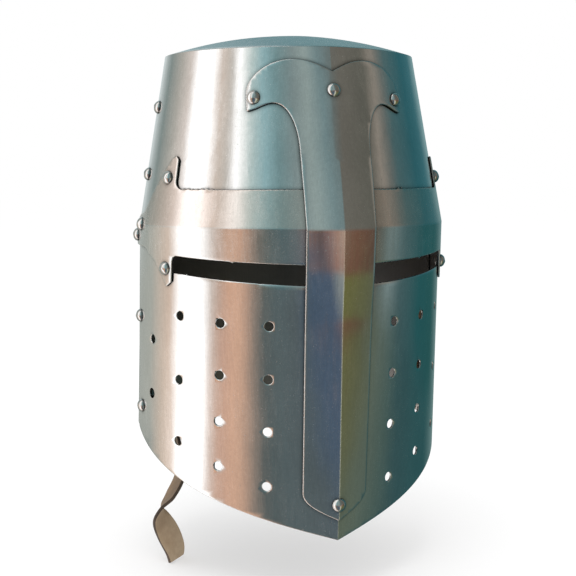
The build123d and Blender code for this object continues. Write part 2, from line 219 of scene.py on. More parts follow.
def addSoftLight(light):
    bpy.ops.object.light_add(type="AREA", location=light["place"])
    lamp = bpy.context.active_object
    lamp.name = "softLight"
    lamp.data.size = light["size"]
    lamp.data.energy = light["energy"]
    lamp.visible_glossy = False
    lamp.rotation_euler = (Vector(light["place"]) - Vector(light["target"])).to_track_quat("Z", "Y").to_euler()


addSoftLight(softLight)

print("studio set")

# wave is how strongly the sheet is beaten, brush how strongly it is ground, edge the turned edge in millimetres,
# scuff how much handling shows, and inside the tone of the painted shade on the faces that look inwards
steelLooks = {
    "plateSteel": {"colour": (0.76, 0.755, 0.75), "rough": 0.115, "wave": 1.0, "brush": 1.0, "edge": 0.5,
                   "scuff": 0.25, "inside": 0.42},
    "barSteel": {"colour": (0.74, 0.74, 0.735), "rough": 0.11, "wave": 2.6, "brush": 1.2, "edge": 1.0,
                 "scuff": 0.35, "inside": 0.42},
    "bandSteel": {"colour": (0.75, 0.745, 0.735), "rough": 0.19, "wave": 1.3, "brush": 1.0, "edge": 0.5,
                  "scuff": 0.4, "inside": 0.42},
    # the band's upper slope: a lighter, warmer copy of its steel, painted light for the slope that faces up
    "bandUpperPaintedLight": {"colour": (0.77, 0.70, 0.66), "rough": 0.20, "wave": 2.0, "brush": 1.0, "edge": 0.5,
                       "scuff": 0.4, "inside": 0.42},
    "domeSteel": {"colour": (0.72, 0.735, 0.74), "rough": 0.22, "wave": 0.6, "brush": 0.6, "edge": 0.4,
                  "scuff": 0.7, "inside": 0.42},
    "rivetSteel": {"colour": (0.66, 0.66, 0.655), "rough": 0.15, "wave": 0.0, "brush": 0.3, "edge": 0.3,
                   "scuff": 0.5, "inside": 0.999},
    "buckleSteel": {"colour": (0.60, 0.59, 0.57), "rough": 0.22, "wave": 0.0, "brush": 0.4, "edge": 0.3,
                    "scuff": 0.5, "inside": 0.999},
}


steelGrain = {
    # noises: scale, detail, roughness
    "fine": (1300.0, 3.0, 0.6), "broad": (330.0, 2.0, 0.5), "cloud": (16.0, 4.0, 0.55), "speck": (420.0, 3.0, 0.7),
    "scratch": (900.0, 1.0, 0.5), "rub": (120.0, 7.0, 0.68), "swell": (22.0, 1.0, 0.5),
    "mid": (0.3, 0.7),  # the part of a noise that is used
    "swirl": 0.6,  # distortion of the scuffs
    "stretch": 0.018,  # grinding marks are long down the sheet
    # depths of relief, and reach of the painted shade where plates lap, in metres
    "waveDeep": 0.00022, "lineDeep": 0.000010, "markDeep": 0.000005, "crevice": 0.0032,
    "outward": (1.0, 1.0, 0.25),  # a place times this points out of the helmet
}


def makeSteel(name, look, grain):
    steel = bpy.data.materials.new(name)
    steel.use_nodes = True
    tree = steel.node_tree
    shader = tree.nodes["Principled BSDF"]
    shader.inputs["Metallic"].default_value = 1.0
    place = addNode(tree, "TexCoord").outputs["Object"]
    # grinding marks run down the sheet
    long = mapped(tree, place, (0.0, 0.0, 0.0), (1.0, 1.0, grain["stretch"]))
    fine, broad = noise(tree, long, grain["fine"]), noise(tree, long, grain["broad"])
    cloud, speck = noise(tree, place, grain["cloud"]), noise(tree, place, grain["speck"])
    # stray scratches lie across them
    tilted = mapped(tree, place, (0.5, 0.9, 0.4), (1.0, 0.035, 1.0))
    nick = between(tree, noise(tree, tilted, grain["scratch"]), (0.70, 0.76))
    # scuffs come from handling
    rubbed = mapped(tree, place, (0.0, 0.25, 0.0), (1.0, 1.0, 0.3))
    rub = noise(tree, rubbed, grain["rub"])
    rub.node.inputs["Distortion"].default_value = grain["swirl"]
    scuff = between(tree, rub, (0.50, 0.72), (0.0, look["scuff"]))
    # roughness
    base = between(tree, cloud, grain["mid"], (look["rough"] - 0.035, look["rough"] + 0.045))
    rough = calculate(tree, "ADD", base, between(tree, broad, grain["mid"], (-0.03, 0.04)))
    scuffed = calculate(tree, "MULTIPLY_ADD", scuff, 0.16, rough)
    worn = calculate(tree, "MULTIPLY_ADD", nick, 0.14, scuffed)
    # colour
    light = look["colour"]
    shade = tuple(0.90 * c for c in light)
    tone = addNode(tree, "ValToRGB", {"Fac": cloud})
    fillRamp(tone.color_ramp, [(0.32, shade), (0.66, light)])
    streak = between(tree, fine, grain["mid"], (0.95, 1.04))
    dust = between(tree, speck, (0.35, 0.7), (0.95, 1.03))
    both = calculate(tree, "MULTIPLY", calculate(tree, "MULTIPLY_ADD", scuff, 0.22, streak), dust)
    colour = addNode(tree, "VectorMath", {0: tone.outputs[0], "Scale": both}, operation="SCALE")
    # painted shade: the colour darkens where plates lap and on the faces that look inwards, and those inward faces
    # are also left dull from the forge
    # ambient occlusion gives the painted shade in laps and crevices
    lap = addNode(tree, "AmbientOcclusion", {"Distance": grain["crevice"]}, samples=6)
    lapShade = between(tree, lap.outputs["AO"], (0.56, 0.93), (0.04, 1.0))
    outward = addNode(tree, "VectorMath", {0: place, 1: grain["outward"]}, operation="MULTIPLY")
    normal = addNode(tree, "NewGeometry").outputs["Normal"]
    facing = addNode(tree, "VectorMath", {0: normal, 1: outward.outputs[0]}, operation="DOT_PRODUCT")
    # painted shade: faces that look inwards are darkened to this tone, standing in for the helmet's inner shade
    inside = between(tree, facing.outputs["Value"], (-0.02, 0.0), (look["inside"], 1.0))
    paintedShade = calculate(tree, "MULTIPLY", lapShade, inside)
    shadedColour = addNode(tree, "VectorMath", {0: colour.outputs[0], "Scale": paintedShade}, operation="SCALE")
    tree.links.new(shadedColour.outputs[0], shader.inputs["Base Color"])
    dull = between(tree, inside, (look["inside"], 1.0001), (0.5, 0.0))
    tree.links.new(calculate(tree, "MAXIMUM", worn, dull), shader.inputs["Roughness"])
    # relief: turned edges, hand beaten waves, grinding marks
    turned = addNode(tree, "Bevel", {"Radius": look["edge"] * mm}, samples=4).outputs[0]
    wave = bump(tree, noise(tree, place, grain["swell"]), grain["waveDeep"] * look["wave"], turned)
    lines = bump(tree, broad, grain["lineDeep"] * look["brush"], wave)
    tree.links.new(bump(tree, fine, grain["markDeep"] * look["brush"], lines), shader.inputs["Normal"])
    return steel


leatherLooks = {
    "strapGrain": {"light": (0.30, 0.20, 0.12), "dark": (0.15, 0.09, 0.05), "rough": 0.55},
    "strapEdge": {"light": (0.10, 0.065, 0.04), "dark": (0.045, 0.028, 0.018), "rough": 0.5},
    "strapFlesh": {"light": (0.52, 0.40, 0.27), "dark": (0.34, 0.24, 0.15), "rough": 0.85},
    "linerGrain": {"light": (0.26, 0.15, 0.08), "dark": (0.12, 0.065, 0.035), "rough": 0.6},
    "threadWax": {"light": (0.62, 0.54, 0.40), "dark": (0.42, 0.35, 0.25), "rough": 0.7},
    "laceGrain": {"light": (0.20, 0.12, 0.07), "dark": (0.09, 0.05, 0.03), "rough": 0.6},
}


leatherGrain = {
    "pore": 1100.0, "crease": (260.0, 5.0, 0.65), "cloud": (38.0, 4.0, 0.5),
    "poreDeep": 0.00012, "creaseDeep": 0.0003,
}


def makeLeather(name, look, grain):
    leather = bpy.data.materials.new(name)
    leather.use_nodes = True
    tree = leather.node_tree
    shader = tree.nodes["Principled BSDF"]
    place = addNode(tree, "TexCoord").outputs["Object"]
    pore = addNode(tree, "TexVoronoi", {"Vector": place, "Scale": grain["pore"]}, feature="DISTANCE_TO_EDGE")
    crease, cloud = noise(tree, place, grain["crease"]), noise(tree, place, grain["cloud"])
    tone = addNode(tree, "ValToRGB", {"Fac": calculate(tree, "MULTIPLY_ADD", crease, 0.45, cloud)})
    fillRamp(tone.color_ramp, [(0.52, look["dark"]), (0.92, look["light"])])
    tree.links.new(tone.outputs[0], shader.inputs["Base Color"])
    rough = between(tree, crease, (0.3, 0.7), (look["rough"] - 0.1, look["rough"] + 0.1))
    tree.links.new(rough, shader.inputs["Roughness"])
    pitted = bump(tree, pore.outputs["Distance"], grain["poreDeep"], strength=0.5)
    tree.links.new(bump(tree, crease, grain["creaseDeep"], pitted, 0.6), shader.inputs["Normal"])
    return leather


finishes = {name: makeSteel(name, look, steelGrain) for name, look in steelLooks.items()}
finishes.update({name: makeLeather(name, look, leatherGrain) for name, look in leatherLooks.items()})

slotFinish = {
    "brushed_steel": "plateSteel",
    "bar_steel": "barSteel",
    "dome_steel": "domeSteel",
    "rivet_steel": "rivetSteel",
    "buckle_steel": "buckleSteel",
    "liner_leather": "linerGrain",
    "strap_leather": "strapGrain",
    "lace_thong": "laceGrain",
}
for node in nodes.values():
    for spot in node.material_slots:
        packed = spot.material.name.split(".")[0]
        for slotName, finish in slotFinish.items():
            if slotName in packed:
                spot.material = finishes[finish]
print("finishes made:", len(finishes))


# the shell's own shape, in millimetres, for the pieces laid on it
shellPlans = {
    # height, half width, depth of the widest place, front, angle of the keel in degrees, back
    "rim": (118.0, 90.0, 1.3, 87.0, 4.0, 100.0),
    "ridge": (0.0, 110.0, 0.0, 113.4, 8.0, 121.2),
    "hem": (-210.8, 113.2, 20.1, 102.8, 24.9, 118.3),
}


def planPoints(plan, out):
    height, half, wideAt, front, keel, back = plan
    half, front, back = half + out, front + out, back + out
    reach = 0.45 * half
    return [
        (0.0, back), (0.5523 * half, back), (half, wideAt + 0.5523 * (back - wideAt)), (half, wideAt),
        (half, wideAt - 0.55 * (front + wideAt)),
        (reach * cos(radians(keel)), reach * sin(radians(keel)) - front), (0.0, -front),
    ]


def ringAt(height, out):
    upper, lower = ("rim", "ridge") if height >= 0 else ("ridge", "hem")
    share = (shellPlans[upper][0] - height) / (shellPlans[upper][0] - shellPlans[lower][0])
    pairs = zip(planPoints(shellPlans[upper], out), planPoints(shellPlans[lower], out))
    return [(a[0] + share * (b[0] - a[0]), a[1] + share * (b[1] - a[1])) for a, b in pairs]


def bezierAt(points, t):
    k = 1 - t
    weights = (k * k * k, 3 * k * k * t, 3 * k * t * t, t * t * t)
    return [sum(w * p[i] for w, p in zip(weights, points)) for i in (0, 1)]


def wallPoint(side, way, height, out=0.0):
    # way is 1 at the keel, 0 at the side and -1 at the back
    points = ringAt(height, out)
    x, y = bezierAt(points[3:], way) if way >= 0 else bezierAt(points[:4], 1 + way)
    return Vector((side * x, y, height - ridgeDrop)) * mm


def wayTo(axis, value, height):
    # how far round the wall an x (axis 0) or a y (axis 1) lies, on the side and front
    low, high = (0.0, 1.0) if axis == 0 else (-1.0, 1.0)
    for _ in range(24):
        middle = (low + high) / 2
        if wallPoint(1, middle, height)[axis] / mm > value:
            low = middle
        else:
            high = middle
    return low


# helpers for modelling
def start(name):
    piece = bpy.context.active_object
    piece.name = name
    piece.data.name = name
    return piece


def only(piece):
    bpy.ops.object.select_all(action="DESELECT")
    piece.select_set(True)
    bpy.context.view_layer.objects.active = piece


def modify(piece, kind, **settings):
    only(piece)
    change = piece.modifiers.new(kind.lower(), kind)
    for name, value in settings.items():
        setattr(change, name, value)
    bpy.ops.object.modifier_apply(modifier=change.name)


def smoothBetween(points, t):
    last = len(points) - 1
    at = min(max(t, 0.0), 1.0) * last
    i = min(int(at), last - 1)
    u = at - i
    p = [points[max(i - 1, 0)], points[i], points[i + 1], points[min(i + 2, last)]]
    return 0.5 * (2 * p[1] + (p[2] - p[0]) * u + (2 * p[0] - 5 * p[1] + 4 * p[2] - p[3]) * u * u
                  + (3 * p[1] - p[0] - 3 * p[2] + p[3]) * u * u * u)


def dress(piece, *names):
    piece.data.materials.clear()
    for name in names:
        piece.data.materials.append(finishes[name])


def curveRun(points, steps):
    # points on one curve with two handles, its end left out
    return [tuple(bezierAt(points, i / steps)) for i in range(steps)]


def straightRun(points, step):
    run = []
    for a, b in zip(points, points[1:]):
        count = max(1, ceil(sqrt((a[0] - b[0]) ** 2 + (a[1] - b[1]) ** 2) / step))
        run += [(a[0] + (b[0] - a[0]) * i / count, a[1] + (b[1] - a[1]) * i / count) for i in range(count)]
    return run


def wallFrame(side, way, height, out=0.0):
    # a place on the wall, its third axis pointing out
    here = wallPoint(side, way, height, out)
    step = 0.002 if way < 0.5 else -0.002
    along = (wallPoint(side, way + step, height, out) - here) * (1 if step > 0 else -1)
    drop = 0.5 if height <= 0 else -0.5
    down = (wallPoint(side, way, height - drop, out) - here) * (1 if drop > 0 else -1)
    normal = along.cross(down).normalized()
    if normal.dot(Vector((here.x, here.y, 0))) < 0:
        normal = -normal
    return placeAt(here, normal, Vector((0, 0, 1)).cross(normal))


def placeAt(here, normal, across):
    across = (across - normal * across.dot(normal)).normalized()
    up = normal.cross(across)
    turn = Matrix((across, up, normal)).transposed().to_4x4()
    return Matrix.Translation(here) @ turn


def punch(sheet, side, way, height, radius):
    bpy.ops.object.select_all(action="DESELECT")
    bpy.ops.mesh.primitive_cylinder_add(vertices=36, radius=radius * mm, depth=14 * mm)
    tool = bpy.context.active_object
    tool.data.transform(wallFrame(side, way, height))
    modify(sheet, "BOOLEAN", object=tool, operation="DIFFERENCE", solver="EXACT")
    bpy.data.objects.remove(tool)


keelSharp = 45.0  # height up to which the keel is a crisp edge


def mirrored(half):
    # the whole outline from its right half, which runs from the keel back to the keel
    return half + [(-across, h) for across, h in reversed(half[1:-1])]


# a sheet is drawn flat, 0 across at the keel and 100 at the side, cut into cells and then laid on the shell
def addSheet(name, outline, outAt, shape, holes=()):
    bpy.ops.object.select_all(action="DESELECT")
    bpy.ops.mesh.primitive_circle_add(vertices=len(outline), radius=1.0, fill_type="NGON")
    sheet = start(name)
    for vertex, (across, height) in zip(sheet.data.vertices, outline):
        vertex.co = (across, height, 0)
    bpy.ops.object.mode_set(mode="EDIT")
    widest = max(abs(p[0]) for p in outline)
    lowest, highest = min(p[1] for p in outline), max(p[1] for p in outline)
    count = int(widest / shape["cell"])
    cuts = [((i * shape["cell"], 0, 0), (1, 0, 0)) for i in range(-count, count + 1)]
    rows = int((highest - lowest) / shape["row"])
    heights = [lowest + shape["row"] * (i + 0.37) for i in range(rows)]
    cuts += [((0, h, 0), (0, 1, 0)) for h in heights if all(abs(h - k) > 0.5 for k in shape["creases"])]
    cuts += [((0, h, 0), (0, 1, 0)) for h in shape["creases"]]
    for place, normal in cuts:
        bpy.ops.mesh.select_all(action="SELECT")
        bpy.ops.mesh.bisect(plane_co=place, plane_no=normal)
    bpy.ops.mesh.select_all(action="SELECT")
    bpy.ops.mesh.remove_doubles(threshold=0.3)
    bpy.ops.object.mode_set(mode="OBJECT")
    for vertex in sheet.data.vertices:
        across, height = vertex.co.x, vertex.co.y
        side = -1 if across < 0 else 1
        vertex.co = wallPoint(side, 1 - abs(across) / 100, height, outAt(height))
    face = max(sheet.data.polygons, key=lambda f: f.area)
    if face.normal.dot(Vector((face.center.x, face.center.y, 0))) < 0:
        sheet.data.flip_normals()
    # the keel is crisp on the lower part and fades out under the scrolls
    for edge in sheet.data.edges:
        ends = [sheet.data.vertices[v].co for v in edge.vertices]
        edge.use_edge_sharp = all(abs(end.x) < 0.01 * mm and end.z < (keelSharp - ridgeDrop) * mm for end in ends)
    modify(sheet, "SOLIDIFY", thickness=shape["thick"] * mm, offset=-1.0)
    for way, heights in holes:
        for height in heights:
            for side in (-1, 1):
                punch(sheet, side, way, height, shape["hole"])
    modify(sheet, "BEVEL", width=shape["round"] * mm, segments=3, limit_method="ANGLE", angle_limit=radians(62),
           use_clamp_overlap=False, harden_normals=False)
    only(sheet)
    bpy.ops.object.shade_smooth_by_angle(angle=radians(40), keep_sharp_edges=True)
    return sheet


def eased(start, end, value):
    t = min(max((value - start) / (end - start), 0.0), 1.0)
    return t * t * (3 - 2 * t)


# in each sheet, cell is in hundredths of the way from keel to side, and row, thick, round and lift in millimetres

# cross bar: a nasal strip with scroll arms over the brow and a clipped foot
crossBar = {
    "cell": 2.4, "row": 3.0, "creases": (0.0,), "thick": 1.7, "round": 0.5,
    "lift": 1.85,  # how far its face stands out from the plates
    "overBand": 1.45,  # and how much further over the brow band
}


def barOut(height):
    over = eased(66, 27, height) if height > 0 else eased(-62, -27, height)
    return crossBar["lift"] + crossBar["overBand"] * over


def barHalf():
    # right half of the outline from the notch to the toe: x and height, a curve by its ends and handles
    run = curveRun([(0, 101.7), (9, 106.5), (15, 109.6), (25, 109.6)], 14)
    run += curveRun([(25, 109.6), (41, 109.6), (53.3, 97), (53.3, 86)], 20)
    run += straightRun([(53.3, 86), (53.3, 75.8)], 1.6)
    run += curveRun([(53.3, 75.8), (48, 76.5), (43, 81.3), (37.5, 81.0)], 12)
    run += curveRun([(37.5, 81.0), (29, 80.5), (24, 66), (24, 50)], 22)
    run += straightRun([(24, 50), (23.6, 20), (22.4, -178)], 3.0)
    run += curveRun([(22.4, -178), (22.4, -186), (12, -191), (0, -196.3)], 14)
    return run + [(0, -196.3)]


half = [(100 * (1 - wayTo(0, x, h)) if x > 0 else 0.0, h) for x, h in barHalf()]
bar = addSheet("crossBar", mirrored(half), barOut, crossBar)
dress(bar, "barSteel")
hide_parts("cross_bar")
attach(bar, "helmet")
print("cross bar made:", len(bar.data.polygons), "faces")

# brow band: creased along its middle, with an ear above and a pointed tab below at each side
browBand = {
    "cell": 2.4, "row": 2.6, "creases": (0.0,), "thick": 1.5, "round": 0.45, "lift": 1.6,
    "topHeight": 24.5, "slitHeight": -24.2,
    # depth and height, from the front's top edge round the ear and the tab to the slit
    "corner": [(-51, 24.5), (-45.6, 24.5), (-43, 27.1), (-43, 32.5)],
    "edge": [(-43, 32.5), (-42, 44.5), (-39.5, 47), (-36.5, 46), (-20, 24), (-8, 9), (4, 6.5), (15, 0), (17.5, -8),
             (12, -15), (-12, -16), (-27, -25), (-35, -34.5), (-38.5, -41.5), (-43.5, -38), (-45, -24), (-46, -21.3),
             (-48.5, -20.2)],
    "slitFront": -106,
}


def bandHalf(band):
    front = (band["slitFront"], band["slitHeight"])
    slitTop = straightRun([band["edge"][-1], front], 2.0) + [front]
    return curveRun(band["corner"], 8) + straightRun(band["edge"], 1.8) + slitTop


half = [(100 * (1 - wayTo(1, y, h)), h) for y, h in bandHalf(browBand)]
frontTop = [(half[0][0] * i / 30, browBand["topHeight"]) for i in range(30)]
frontLow = [(half[-1][0] * (1 - i / 10), browBand["slitHeight"]) for i in range(1, 11)]
band = addSheet("browBand", mirrored(frontTop + half + frontLow), lambda height: browBand["lift"], browBand)
dress(band, "bandSteel", "bandUpperPaintedLight")
for face in band.data.polygons:
    if face.center.z > -ridgeDrop * mm:  # the upper slope takes a lighter, warmer copy of the band's steel, painted light where it faces up
        face.material_index = 1
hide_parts("brow_band")
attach(band, "helmet")
print("brow band made:", len(band.data.polygons), "faces")

# face plate: its upper edge is the lower edge of the eye slit, and its hem sweeps down to the keel
facePlate = {
    "cell": 3.0, "row": 4.0, "creases": (), "thick": 1.3, "round": 0.5, "lift": 0.0, "hole": 3.15,
    "seam": 13.0, "seamFoot": -148,  # depth of the rear edge, and height of its foot
    "slit": [(-106, -38.2), (-47, -32), (-42, -32), (-42, -1)],  # depth and height along its upper edge
    "hem": -210.5, "hemSlope": 0.54, "hemFront": -103,  # the hem at the front, and its rise towards the back
    # breathing holes: how far round, then their heights
    "breaths": ((0.705, (-65, -101, -137, -175)), (0.508, (-64, -99.5, -131.5, -163)),
                (0.318, (-61, -105.5, -149)), (0.145, (-80, -119))),
}


def faceHalf(plate):
    def hemAt(way):
        height = -200.0
        for _ in range(6):
            height = plate["hem"] + plate["hemSlope"] * (wallPoint(1, way, height).y / mm - plate["hemFront"])
        return height
    seamWay = wayTo(1, plate["seam"], plate["seamFoot"])
    down = [(100 * (1 - wayTo(1, plate["seam"], h)), h) for h in range(-4, plate["seamFoot"] + 2, -3)]
    top = [(100 * (1 - wayTo(1, y, h)), h) for y, h in straightRun(plate["slit"], 2.0)]
    backEdge, backHeight = plate["slit"][-1]
    level = 100 * (1 - wayTo(1, backEdge, backHeight))
    across = [(level + (down[0][0] - level) * i / 20, backHeight) for i in range(20)]
    hemRun = [(100 * (1 - seamWay) * (1 - i / 60), hemAt(1 - (1 - seamWay) * (1 - i / 60))) for i in range(61)]
    front = [(top[0][0] * i / 10, plate["slit"][0][1]) for i in range(10)]
    return front + top + across + [(down[0][0], backHeight)] + down + hemRun


plate = addSheet("facePlate", mirrored(faceHalf(facePlate)), lambda height: facePlate["lift"], facePlate,
                 facePlate["breaths"])
dress(plate, "plateSteel")
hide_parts("face_plate")
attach(plate, "helmet")
print("face plate made:", len(plate.data.polygons), "faces")

# dome: a low crown set inside the rim, with its flange
dome = {
    "rise": 15.0, "thick": 1.15, "rings": 18, "points": 200, "centre": 5.0, "inset": 0.35,
    "edge": [(1.0, -10.0), (1.0, -1.6), (0.998, -0.5), (0.991, 0.35)],  # share of the rim and height, up the flange
}


def addDome(shape):
    bpy.ops.object.select_all(action="DESELECT")
    bpy.ops.mesh.primitive_circle_add(vertices=shape["points"], radius=1.0, fill_type="NOTHING")
    crown = start("domePlate")
    count, rim = shape["points"], shellPlans["rim"][0]
    quarter = count // 4
    plan = []
    for i in range(count):
        side, part = (1, i / quarter) if i < 2 * quarter else (-1, 4 - i / quarter)
        plan.append(wallPoint(side, part - 1, rim, -shape["inset"]) / mm)
    rings = list(shape["edge"])
    for i in range(1, shape["rings"]):
        share = 0.985 * (1 - i / shape["rings"]) + 0.004
        rings.append((share, shape["rise"] * (1 - share * share)))
    bpy.ops.object.mode_set(mode="EDIT")
    bpy.ops.mesh.select_all(action="SELECT")
    for _ in rings[1:]:
        bpy.ops.mesh.extrude_region_move()
    bpy.ops.mesh.edge_face_add()
    bpy.ops.object.mode_set(mode="OBJECT")
    for level, (share, rise) in enumerate(rings):
        for i, point in enumerate(plan):
            depth = shape["centre"] + (point.y - shape["centre"]) * share
            spot = Vector((point.x * share, depth, rim - ridgeDrop + rise))
            crown.data.vertices[level * count + i].co = spot * mm
    bpy.ops.object.mode_set(mode="EDIT")
    bpy.ops.mesh.select_all(action="SELECT")
    bpy.ops.mesh.normals_make_consistent(inside=False)
    bpy.ops.object.mode_set(mode="OBJECT")
    if max(crown.data.polygons, key=lambda f: f.center.z).normal.z < 0:
        crown.data.flip_normals()
    modify(crown, "SOLIDIFY", thickness=shape["thick"] * mm, offset=-1.0)
    only(crown)
    bpy.ops.object.shade_smooth_by_angle(angle=radians(50))
    return crown


crown = addDome(dome)
dress(crown, "domeSteel")
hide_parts("top_plate")
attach(crown, "helmet")
print("dome made")

# rivets: a hammered round head, a shank, and a tail beaten over inside; radii and heights
rivet = {"head": 4.65, "height": 3.5, "shank": 2.0, "tail": 3.2, "tailHeight": 1.3, "sunk": 0.5}


def sideSpots(y, height, out):
    way = wayTo(1, y, height)
    return [wallFrame(side, way, height, out) for side in (1, -1)]


def keelSpot(height, out):
    here, lower = wallPoint(1, 1, height, out), wallPoint(1, 1, height - 1, out)
    normal = Vector((1, 0, 0)).cross((here - lower).normalized())
    return [placeAt(here, normal if normal.y < 0 else -normal, Vector((1, 0, 0)))]


def backSpots(height, out):
    return [wallFrame(1, -0.55, height, out), wallFrame(-1, -0.55, height, out), wallFrame(1, -1, height, out)]


strapDepth, strapTop = 6.3, -66.0  # where the straps hang from their rivets
strapSpots = []
for side in (1, -1):
    here = Vector((side * wallPoint(1, 0, strapTop).x, strapDepth * mm, (strapTop - ridgeDrop) * mm))
    strapSpots.append(placeAt(here, Vector((side, 0, 0)), Vector((0, 1, 0))))
# each row is a CAD node, the new name, the places and the thickness held
rivetSets = [
    ("cross_arm_rivets", "armRivets", [wallFrame(s, 0.626, 84.6, 1.8) for s in (1, -1)], 2.6),
    ("cross_head_rivet", "headRivet", keelSpot(89.2, 1.7), 3.2),
    ("cross_foot_rivet", "footRivet", keelSpot(-185.4, 1.4), 4.7),
    ("brow_ear_rivets", "earRivets", sideSpots(-35.0, 32.5, 1.6), 6.0),
    ("brow_ridge_rivets", "ridgeRivets", sideSpots(-3.0, 0.01, 1.35), 5.6),
    ("brow_end_rivets", "bandEndRivets", sideSpots(10.5, -8.0, 1.6), 5.2),
    ("brow_corner_rivets", "cornerRivets", sideSpots(-38.8, -29.0, 1.6), 2.9),
    ("upper_seam_rivets", "upperSeamRivets", sideSpots(5.0, 82.0, 0.0), 2.4),
    ("liner_side_rivets", "linerSideRivets", sideSpots(5.0, 35.0, 0.0), 4.5),
    ("lower_seam_rivets", "lowerSeamRivets", sideSpots(3.5, -131.0, 0.0), 2.4),
    ("strap_rivets", "strapRivets", strapSpots, 7.2),
    ("rear_waist_rivets", "rearWaistRivets", backSpots(-6.5, -1.2), 2.4),
    ("liner_rear_rivets", "linerRearRivets", backSpots(35.0, -1.2), 3.3),
]


def modelHead(shape):
    bpy.ops.object.select_all(action="DESELECT")
    bpy.ops.mesh.primitive_uv_sphere_add(segments=28, ring_count=18, radius=shape["head"] * mm)
    head = start("rivetHead")
    bpy.ops.object.mode_set(mode="EDIT")
    bpy.ops.mesh.select_all(action="SELECT")
    bpy.ops.mesh.bisect(plane_co=(0, 0, 0), plane_no=(0, 0, 1), clear_inner=True)
    bpy.ops.mesh.select_all(action="DESELECT")
    bpy.ops.mesh.select_mode(type="EDGE")
    bpy.ops.mesh.select_non_manifold()
    bpy.ops.mesh.extrude_region_move(TRANSFORM_OT_translate={"value": (0, 0, -shape["sunk"] * mm)})
    bpy.ops.mesh.extrude_region_move()
    bpy.ops.transform.resize(value=(0.42, 0.42, 1.0))
    bpy.ops.mesh.extrude_region_move(TRANSFORM_OT_translate={"value": (0, 0, -1.0 * mm)})
    bpy.ops.mesh.edge_face_add()
    bpy.ops.object.mode_set(mode="OBJECT")
    for vertex in head.data.vertices:
        x, y, z = vertex.co / (shape["head"] * mm)
        if z > 0:
            # hammer facets, and a crown flatter than a ball
            dent = 0.035 * sin(5.3 * x + 1.1) * sin(4.7 * y + 0.6) + 0.02 * sin(9.1 * x - 3.0 * y)
            vertex.co.z = (shape["height"] / shape["head"]) * vertex.co.z * (1 + dent * z)
    return head


def addRivets(name, places, held, shape):
    pieces = []
    for turn, place in enumerate(places):
        head = bpy.data.objects.new("head", modelledHead.data.copy())
        bpy.context.collection.objects.link(head)
        head.data.transform(place @ Matrix.Rotation(1.3 * turn + 0.4 * len(name), 4, "Z"))
        bpy.ops.object.select_all(action="DESELECT")
        bpy.ops.mesh.primitive_cylinder_add(vertices=24, radius=shape["shank"] * mm, depth=(held + 0.4) * mm,
                                            location=(0, 0, -held / 2 * mm))
        shank = bpy.context.active_object
        bpy.ops.mesh.primitive_uv_sphere_add(segments=24, ring_count=12, radius=shape["tail"] * mm)
        tail = bpy.context.active_object
        for part, own in ((shank, Matrix.Translation((0, 0, -held / 2 * mm))), (tail, Matrix.Identity(4))):
            part.location = (0, 0, 0)
            if part is tail:
                for vertex in tail.data.vertices:
                    if vertex.co.z > 0:
                        vertex.co.z = 0.0
                    vertex.co.z = vertex.co.z * shape["tailHeight"] / shape["tail"] - held * mm
            part.data.transform(place @ own)
        pieces += [head, shank, tail]
    bpy.ops.object.select_all(action="DESELECT")
    for piece in pieces:
        piece.select_set(True)
    bpy.context.view_layer.objects.active = pieces[0]
    bpy.ops.object.join()
    group = start(name)
    bpy.ops.object.shade_smooth_by_angle(angle=radians(40))
    return group


modelledHead = modelHead(rivet)
for node, name, places, held in rivetSets:
    group = addRivets(name, places, held, rivet)
    dress(group, "rivetSteel")
    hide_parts(node)
    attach(group, "helmet")
bpy.data.objects.remove(modelledHead)
print("rivets set:", sum(len(row[2]) for row in rivetSets))


# straps: a strip of leather follows its middle line, and its width is turned where it twists
def addStrip(name, middle, widths, shape):
    bpy.ops.object.select_all(action="DESELECT")
    bpy.ops.mesh.primitive_grid_add(x_subdivisions=shape["across"], y_subdivisions=shape["along"], size=1.0)
    strip = start(name)
    line = [Vector((x, shape["depth"], height - ridgeDrop)) * mm for x, height in middle]
    wide = [Vector(w).normalized() for w in widths]
    uv = strip.data.uv_layers.active.data
    for loop in strip.data.loops:
        spot = strip.data.vertices[loop.vertex_index].co
        uv[loop.index].uv = (spot.x + 0.5, spot.y + 0.5)
    for vertex in strip.data.vertices:
        t, across = vertex.co.y + 0.5, vertex.co.x
        here = smoothBetween(line, t)
        ahead = (smoothBetween(line, t + 0.004) - smoothBetween(line, t - 0.004)).normalized()
        width = smoothBetween(wide, t)
        width = (width - ahead * width.dot(ahead)).normalized()
        face = ahead.cross(width)
        # worn leather is cupped, and a little uneven
        ripple = 0.25 * sin(31 * t) * sin(3.1 * across + 9 * t)
        rise = shape["cup"] * (1 - 4 * across * across) + ripple
        vertex.co = here + width * across * shape["width"] * mm + face * rise * mm
    dress(strip, *shape["finish"])
    modify(strip, "SOLIDIFY", thickness=shape["thick"] * mm, offset=0.0, material_offset=1, material_offset_rim=2)
    modify(strip, "BEVEL", width=0.45 * mm, segments=2, limit_method="ANGLE", angle_limit=radians(50))
    only(strip)
    bpy.ops.object.shade_smooth_by_angle(angle=radians(45))
    return strip


